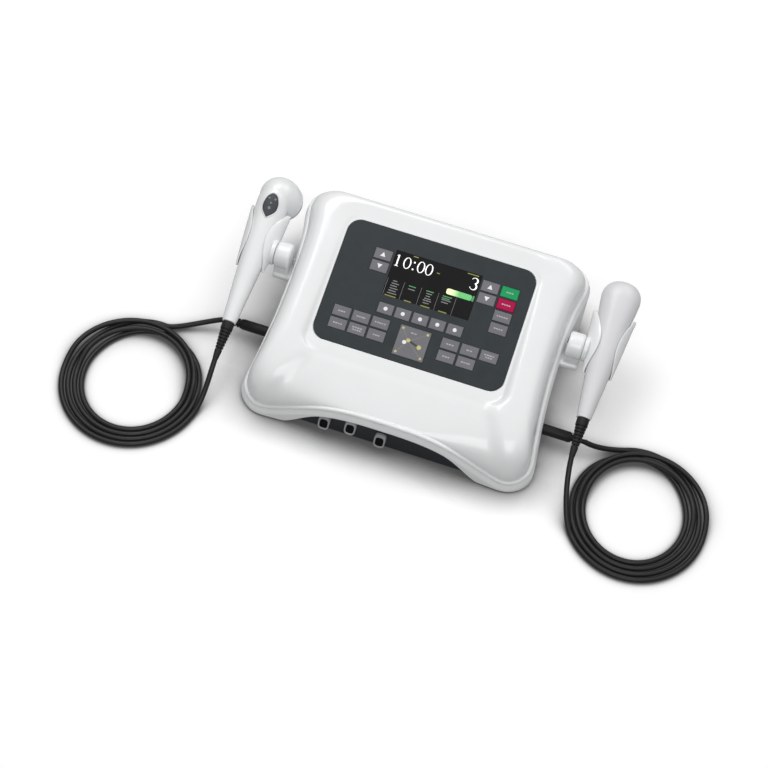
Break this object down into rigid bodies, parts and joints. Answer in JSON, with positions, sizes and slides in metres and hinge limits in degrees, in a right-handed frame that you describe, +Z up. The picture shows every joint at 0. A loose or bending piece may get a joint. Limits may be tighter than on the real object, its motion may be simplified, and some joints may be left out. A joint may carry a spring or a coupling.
{
  "type": "ultrasound therapy device",
  "caption": "Tabletop ultrasound and light therapy console with a sloping key and display panel, two handsets in side cradles, and coiled leads.",
  "frame": {"origin": "on the table, in the middle of the footprint of the whole set (console, handsets and coiled leads)", "axes": "+X to the user's right, +Y away from the user towards the back of the console, +Z up"},
  "size_m": [0.7486, 0.358, 0.1245],
  "materials": {
    "white_shell": "glossy moulded",
    "probe_shell": "satin moulded",
    "charcoal": "fine texture",
    "overlay": "satin printed film",
    "key_grey": "satin",
    "key_green": "satin",
    "key_red": "satin",
    "screen_glass": "dark display window",
    "connector": "satin",
    "rubber": "moulded",
    "cable": "extruded jacket",
    "board": "solder mask",
    "supply_cage": "folded sheet",
    "treatment_metal": "turned",
    "lens": "tinted window"
  },
  "bodies": {
    "console": {"top_shell": "white_shell", "lower_shell": "white_shell", "chassis_tray": "charcoal", "front_panel": "charcoal", "front_jack_left": "connector", "front_jack_middle": "connector", "front_jack_right": "connector", "foot_front_left": "rubber", "foot_front_right": "rubber", "foot_back_left": "rubber", "foot_back_right": "rubber", "panel_overlay": "overlay", "display_module": "screen_glass", "main_board": "board", "power_supply": "supply_cage", "ultrasound_driver": "board", "power_inlet": "rubber", "arm_left": "white_shell", "arm_right": "white_shell", "socket_left": "connector", "socket_right": "connector", "lead_left": "cable", "lead_right": "cable"},
    "key_time_up_body": {"key_time_up": "key_grey"},
    "key_time_down_body": {"key_time_down": "key_grey"},
    "key_level_up_body": {"key_level_up": "key_grey"},
    "key_level_down_body": {"key_level_down": "key_grey"},
    "key_start_body": {"key_start": "key_green"},
    "key_stop_body": {"key_stop": "key_red"},
    "key_pause_body": {"key_pause": "key_grey"},
    "key_menu_body": {"key_menu": "key_grey"},
    "key_target_body": {"key_target": "key_grey"},
    "soft_key_1_body": {"soft_key_1": "key_grey"},
    "soft_key_2_body": {"soft_key_2": "key_grey"},
    "soft_key_3_body": {"soft_key_3": "key_grey"},
    "soft_key_4_body": {"soft_key_4": "key_grey"},
    "soft_key_5_body": {"soft_key_5": "key_grey"},
    "mode_key_1_body": {"mode_key_1": "key_grey"},
    "mode_key_2_body": {"mode_key_2": "key_grey"},
    "mode_key_3_body": {"mode_key_3": "key_grey"},
    "mode_key_4_body": {"mode_key_4": "key_grey"},
    "mode_key_5_body": {"mode_key_5": "key_grey"},
    "mode_key_6_body": {"mode_key_6": "key_grey"},
    "preset_key_1_body": {"preset_key_1": "key_grey"},
    "preset_key_2_body": {"preset_key_2": "key_grey"},
    "preset_key_3_body": {"preset_key_3": "key_grey"},
    "preset_key_4_body": {"preset_key_4": "key_grey"},
    "preset_key_5_body": {"preset_key_5": "key_grey"},
    "rocker": {"power_switch": "rubber"},
    "left_cradle": {"cradle_left": "white_shell"},
    "right_cradle": {"cradle_right": "white_shell"},
    "applicator": {"applicator_housing": "white_shell", "applicator_face": "treatment_metal", "applicator_strain_relief": "rubber"},
    "applicator_button": {"applicator_keypad": "rubber"},
    "probe": {"probe_housing": "probe_shell", "probe_lens": "lens", "probe_strain_relief": "rubber"},
    "left_plug": {"plug_left": "rubber"},
    "right_plug": {"plug_right": "rubber"}
  },
  "joints": [
    {"name": "key_time_up_press", "type": "slide", "parent": "console", "child": "key_time_up_body", "axis": [0, 0.2924, -0.9563], "range_m": [0, 0.0004]},
    {"name": "key_time_down_press", "type": "slide", "parent": "console", "child": "key_time_down_body", "axis": [0, 0.2924, -0.9563], "range_m": [0, 0.0004]},
    {"name": "key_level_up_press", "type": "slide", "parent": "console", "child": "key_level_up_body", "axis": [0, 0.2924, -0.9563], "range_m": [0, 0.0004]},
    {"name": "key_level_down_press", "type": "slide", "parent": "console", "child": "key_level_down_body", "axis": [0, 0.2924, -0.9563], "range_m": [0, 0.0004]},
    {"name": "key_start_press", "type": "slide", "parent": "console", "child": "key_start_body", "axis": [0, 0.2924, -0.9563], "range_m": [0, 0.0004]},
    {"name": "key_stop_press", "type": "slide", "parent": "console", "child": "key_stop_body", "axis": [0, 0.2924, -0.9563], "range_m": [0, 0.0004]},
    {"name": "key_pause_press", "type": "slide", "parent": "console", "child": "key_pause_body", "axis": [0, 0.2924, -0.9563], "range_m": [0, 0.0004]},
    {"name": "key_menu_press", "type": "slide", "parent": "console", "child": "key_menu_body", "axis": [0, 0.2924, -0.9563], "range_m": [0, 0.0004]},
    {"name": "key_target_press", "type": "slide", "parent": "console", "child": "key_target_body", "axis": [0, 0.2924, -0.9563], "range_m": [0, 0.0004]},
    {"name": "soft_key_1_press", "type": "slide", "parent": "console", "child": "soft_key_1_body", "axis": [0, 0.2924, -0.9563], "range_m": [0, 0.0004]},
    {"name": "soft_key_2_press", "type": "slide", "parent": "console", "child": "soft_key_2_body", "axis": [0, 0.2924, -0.9563], "range_m": [0, 0.0004]},
    {"name": "soft_key_3_press", "type": "slide", "parent": "console", "child": "soft_key_3_body", "axis": [0, 0.2924, -0.9563], "range_m": [0, 0.0004]},
    {"name": "soft_key_4_press", "type": "slide", "parent": "console", "child": "soft_key_4_body", "axis": [0, 0.2924, -0.9563], "range_m": [0, 0.0004]},
    {"name": "soft_key_5_press", "type": "slide", "parent": "console", "child": "soft_key_5_body", "axis": [0, 0.2924, -0.9563], "range_m": [0, 0.0004]},
    {"name": "mode_key_1_press", "type": "slide", "parent": "console", "child": "mode_key_1_body", "axis": [0, 0.2924, -0.9563], "range_m": [0, 0.0004]},
    {"name": "mode_key_2_press", "type": "slide", "parent": "console", "child": "mode_key_2_body", "axis": [0, 0.2924, -0.9563], "range_m": [0, 0.0004]},
    {"name": "mode_key_3_press", "type": "slide", "parent": "console", "child": "mode_key_3_body", "axis": [0, 0.2924, -0.9563], "range_m": [0, 0.0004]},
    {"name": "mode_key_4_press", "type": "slide", "parent": "console", "child": "mode_key_4_body", "axis": [0, 0.2924, -0.9563], "range_m": [0, 0.0004]},
    {"name": "mode_key_5_press", "type": "slide", "parent": "console", "child": "mode_key_5_body", "axis": [0, 0.2924, -0.9563], "range_m": [0, 0.0004]},
    {"name": "mode_key_6_press", "type": "slide", "parent": "console", "child": "mode_key_6_body", "axis": [0, 0.2924, -0.9563], "range_m": [0, 0.0004]},
    {"name": "preset_key_1_press", "type": "slide", "parent": "console", "child": "preset_key_1_body", "axis": [0, 0.2924, -0.9563], "range_m": [0, 0.0004]},
    {"name": "preset_key_2_press", "type": "slide", "parent": "console", "child": "preset_key_2_body", "axis": [0, 0.2924, -0.9563], "range_m": [0, 0.0004]},
    {"name": "preset_key_3_press", "type": "slide", "parent": "console", "child": "preset_key_3_body", "axis": [0, 0.2924, -0.9563], "range_m": [0, 0.0004]},
    {"name": "preset_key_4_press", "type": "slide", "parent": "console", "child": "preset_key_4_body", "axis": [0, 0.2924, -0.9563], "range_m": [0, 0.0004]},
    {"name": "preset_key_5_press", "type": "slide", "parent": "console", "child": "preset_key_5_body", "axis": [0, 0.2924, -0.9563], "range_m": [0, 0.0004]},
    {"name": "rocker_tilt", "type": "hinge", "parent": "console", "child": "rocker", "pos_m": [0.06, 0.15853, 0.03], "axis": [1, 0, 0], "range_deg": [-8, 8]},
    {"name": "left_cradle_tilt", "type": "hinge", "parent": "console", "child": "left_cradle", "pos_m": [-0.1769, 0.08253, 0.07725], "axis": [1, 0, 0], "range_deg": [-25, 0]},
    {"name": "right_cradle_tilt", "type": "hinge", "parent": "console", "child": "right_cradle", "pos_m": [0.1769, 0.08253, 0.07725], "axis": [1, 0, 0], "range_deg": [-25, 0]},
    {"name": "applicator_slide", "type": "slide", "parent": "left_cradle", "child": "applicator", "axis": [0, 0.9588, 0.284], "range_m": [0, 0.06]},
    {"name": "probe_slide", "type": "slide", "parent": "right_cradle", "child": "probe", "axis": [0, 0.9588, 0.284], "range_m": [0, 0.06]},
    {"name": "applicator_button_press", "type": "slide", "parent": "applicator", "child": "applicator_button", "axis": [0, 0.284, -0.9588], "range_m": [0, 0.0003]},
    {"name": "left_plug_pull", "type": "slide", "parent": "console", "child": "left_plug", "axis": [-1, 0, 0], "range_m": [0, 0.009]},
    {"name": "right_plug_pull", "type": "slide", "parent": "console", "child": "right_plug", "axis": [1, 0, 0], "range_m": [0, 0.009]}
  ]
}
